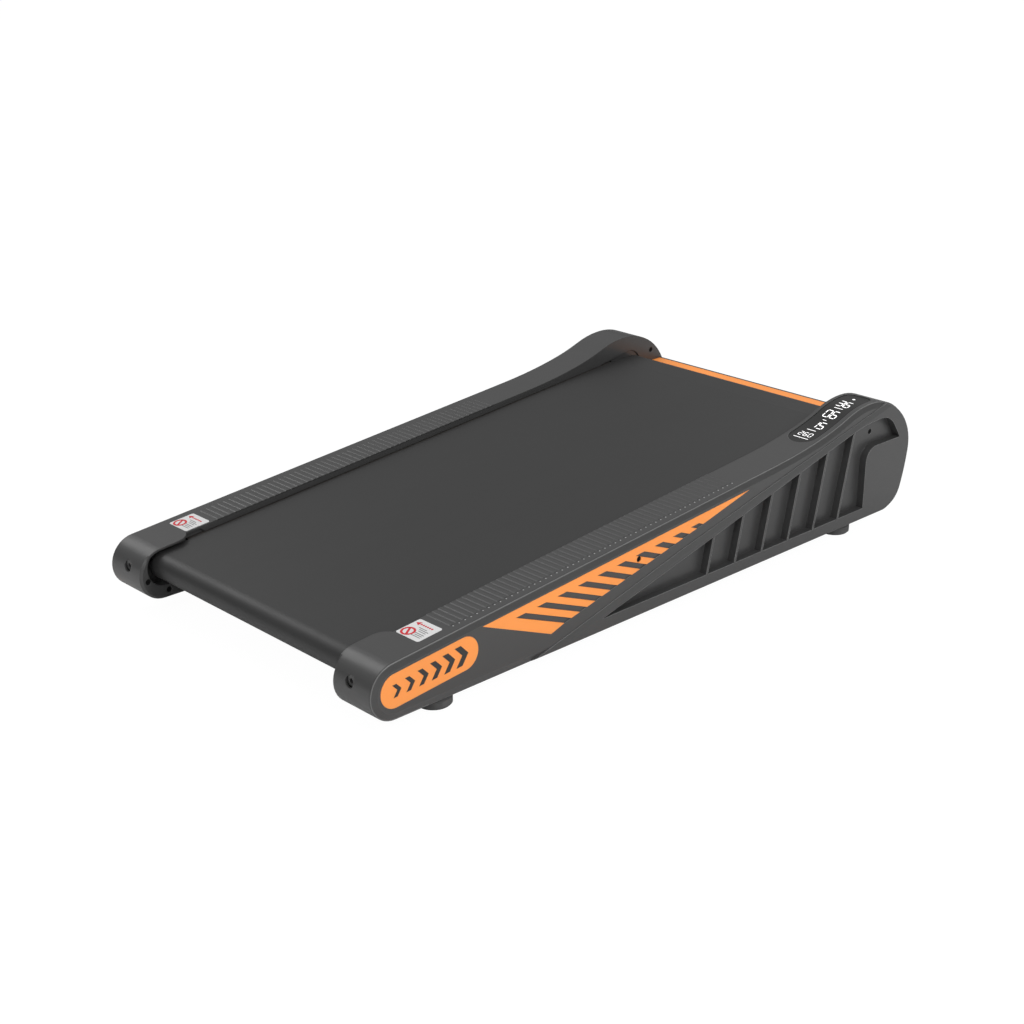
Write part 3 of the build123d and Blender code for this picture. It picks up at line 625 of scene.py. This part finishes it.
def makeBadgeMotif(side):
    plan = badgePlan
    lean = math.radians(plan["slope"])
    chevrons = []
    for step in range(plan["count"]):
        along = (step - (plan["count"] - 1) / 2) * plan["pitch"] - plan["point"] / 2
        size = plan["firstSize"] + plan["growth"] * step / (plan["count"] - 1)
        bpy.ops.mesh.primitive_plane_add(size=1, location=(along * mm, 0, 0))
        chevron = bpy.context.object
        chevron.scale = (plan["wide"] * mm * size, plan["tall"] * mm * size, 1)
        settle(chevron)
        bpy.ops.object.mode_set(mode="EDIT")
        bpy.ops.mesh.select_all(action="SELECT")
        bpy.ops.mesh.subdivide(number_cuts=1)
        bpy.ops.mesh.select_all(action="DESELECT")
        bpy.ops.object.mode_set(mode="OBJECT")
        for point in chevron.data.vertices:
            point.select = abs(point.co.y) < plan["nearMiddle"]
        bpy.ops.object.mode_set(mode="EDIT")
        bpy.ops.transform.translate(value=(plan["point"] * mm * size, 0, 0))
        bpy.ops.object.mode_set(mode="OBJECT")
        chevrons.append(chevron)
    motif = joinAll(chevrons, sideName(side) + "_badge_chevrons")
    applied(motif, "SOLIDIFY", thickness=plan["thickness"] * mm, offset=1)
    motif.rotation_euler = (math.radians(90), -lean, 0)
    stand = plan["face"] + plan["lift"]
    motif.location = (plan["centre"][0] * mm, side * stand * mm, plan["centre"][1] * mm)
    settle(motif)
    bpy.ops.object.mode_set(mode="EDIT")
    bpy.ops.mesh.select_all(action="SELECT")
    bpy.ops.mesh.normals_make_consistent(inside=False)
    bpy.ops.object.mode_set(mode="OBJECT")
    dress(motif, printedInk("badgeInk", grey(0.02)))
    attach(motif, "frame")


for side in (-1, 1):
    makeBadgeMotif(side)
print("badge chevrons are made")


labelPlan = {
    "middle": (-392.5, 222.0), "lift": 0.08, "thickness": 0.06,
    "ring": (-8.5, 8.6, 9.0, 2.8),  # along, across, radius, stroke
    "ringCorners": 36,
    "slash": 60.0,
    "sign": (10.5, 12.0, 4.4),  # a triangle: along, across, radius
    "heading": [(10.5, 7.5), (10.5, 4.0), (10.5, 0.5), (10.5, -3.0), (10.5, -6.5), (10.5, -10.0)],
    "headingBar": (2.8, 2.6),
    "lines": [(4.5, -1.5, 13), (1.5, -6.0, 15), (-1.5, -6.5, 12), (-5.5, -7.0, 15), (-8.5, -8.0, 12),
              (-11.5, -7.0, 15)],  # along, across, length
    "lineWide": 1.0,
    "red": (0.6, 0.02, 0.03, 1),
    "dark": grey(0.16),
}


def makeLabelPrint(side):
    plan = labelPlan
    name = sideName(side)
    x = plan["middle"][0] * mm
    y = side * plan["middle"][1] * mm
    along, aside, radius, stroke = (value * mm for value in plan["ring"])
    ring = flatDisc(x + along, y + aside, radius, plan["ringCorners"])
    bpy.ops.object.mode_set(mode="EDIT")
    bpy.ops.mesh.select_all(action="SELECT")
    bpy.ops.mesh.inset(thickness=stroke)
    bpy.ops.mesh.delete(type="FACE")
    bpy.ops.object.mode_set(mode="OBJECT")
    slash = flatBar(x + along, y + aside, stroke, 2 * (radius - stroke / 2))
    bpy.ops.transform.rotate(
        value=math.radians(plan["slash"]), orient_axis="Z",
        center_override=(x + along, y + aside, strokePlan["drawnAt"]))
    settle(slash)
    across, over, size = (value * mm for value in plan["sign"])
    wide, tall = (value * mm for value in plan["headingBar"])
    red = [ring, slash, flatDisc(x + across, y + over, size, 3)]
    red += [flatBar(x + dx * mm, y + dy * mm, wide, tall) for dx, dy in plan["heading"]]
    dark = [flatBar(x + dx * mm, y + dy * mm, plan["lineWide"] * mm, long * mm)
            for dx, dy, long in plan["lines"]]
    for pieces, part, colour in ((red, "sign", plan["red"]), (dark, "lines", plan["dark"])):
        printed = joinAll(pieces, f"{name}_label_{part}")
        layOn(printed, name + "_label", plan["lift"] * mm)
        applied(printed, "SOLIDIFY", thickness=plan["thickness"] * mm, offset=1)
        dress(printed, printedInk(part + "Ink", colour))
        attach(printed, "frame")


for side in (-1, 1):
    makeLabelPrint(side)
print("label prints are made")


studio = {
    "floorSize": 30.0,
    "floorShade": 0.85,
    "floorRoughness": 0.9,
    "floorWhite": 0.93,
    "floorGlow": 1.05,
    "low": 0.06,
    "high": 0.8,
    "aim": (0, 0, 0.1),
    "lights": [  # place, size, power
        ((-2.5, -0.9, 1.75), 0.8, 17),
        ((0.2, -2.6, 1.8), 1.2, 38),
        ((-0.5, 2.2, 2.2), 1.7, 20),
        ((2.6, 0.5, 2.0), 1.0, 9),
    ],
}


def makeFloor():
    bpy.ops.mesh.primitive_plane_add(size=studio["floorSize"], location=(0, 0, 0))
    floor = bpy.context.object
    floor.name = "floor"
    paper = newFinish("paleFloor")
    paper.set({"Base Color": grey(studio["floorShade"]), "Roughness": studio["floorRoughness"]})
    seen = paper.node("ShaderNodeLightPath")
    glow = paper.node("ShaderNodeEmission", inputs={"Color": grey(1), "Strength": studio["floorGlow"]})
    plain = Flow(paper.tree, paper.shader.outputs[0])
    mixed = paper.node("ShaderNodeMixShader", inputs={0: seen * studio["floorWhite"], 1: plain, 2: glow})
    feed(paper.tree, paper.tree.nodes["Material Output"].inputs["Surface"], mixed)
    dress(floor, paper.block)


def makeSky():  # white behind the machine, and for its light dim at the horizon and bright overhead
    world = bpy.data.worlds.new("studio")
    bpy.context.scene.world = world
    sky = Finish(world, "Background")
    seen = sky.node("ShaderNodeLightPath")
    height = sky.node("ShaderNodeSeparateXYZ", inputs={
        "Vector": sky.node("ShaderNodeTexCoord", output="Generated")}, output="Z")
    ramp = sky.node("ShaderNodeMapRange", inputs={
        "Value": height, "From Min": 0.0, "From Max": 1.0,
        "To Min": studio["low"], "To Max": studio["high"]})
    sky.set({"Color": grey(1), "Strength": seen + (1 - seen) * ramp})


makeFloor()
makeSky()
for place, size, power in studio["lights"]:
    bpy.ops.object.light_add(type="AREA", location=place)
    light = bpy.context.object
    light.data.shape = "DISK"
    light.data.size = size
    light.data.energy = power
    light.rotation_euler = (Vector(studio["aim"]) - Vector(place)).to_track_quat("-Z", "Y").to_euler()
bpy.context.scene.view_settings.view_transform = "Standard"

cameraPlan = {
    "place": (-1.5244, -1.5485, 0.9236), "down": 21.473, "turn": -43.835,  # degrees
    "lens": 61.43, "sensor": 36,
}
bpy.ops.object.camera_add(
    location=cameraPlan["place"],
    rotation=(math.radians(90 - cameraPlan["down"]), 0, math.radians(cameraPlan["turn"])))
camera = bpy.context.object
camera.data.sensor_width = cameraPlan["sensor"]
camera.data.lens = cameraPlan["lens"]
bpy.context.scene.camera = camera
print("studio is lit")
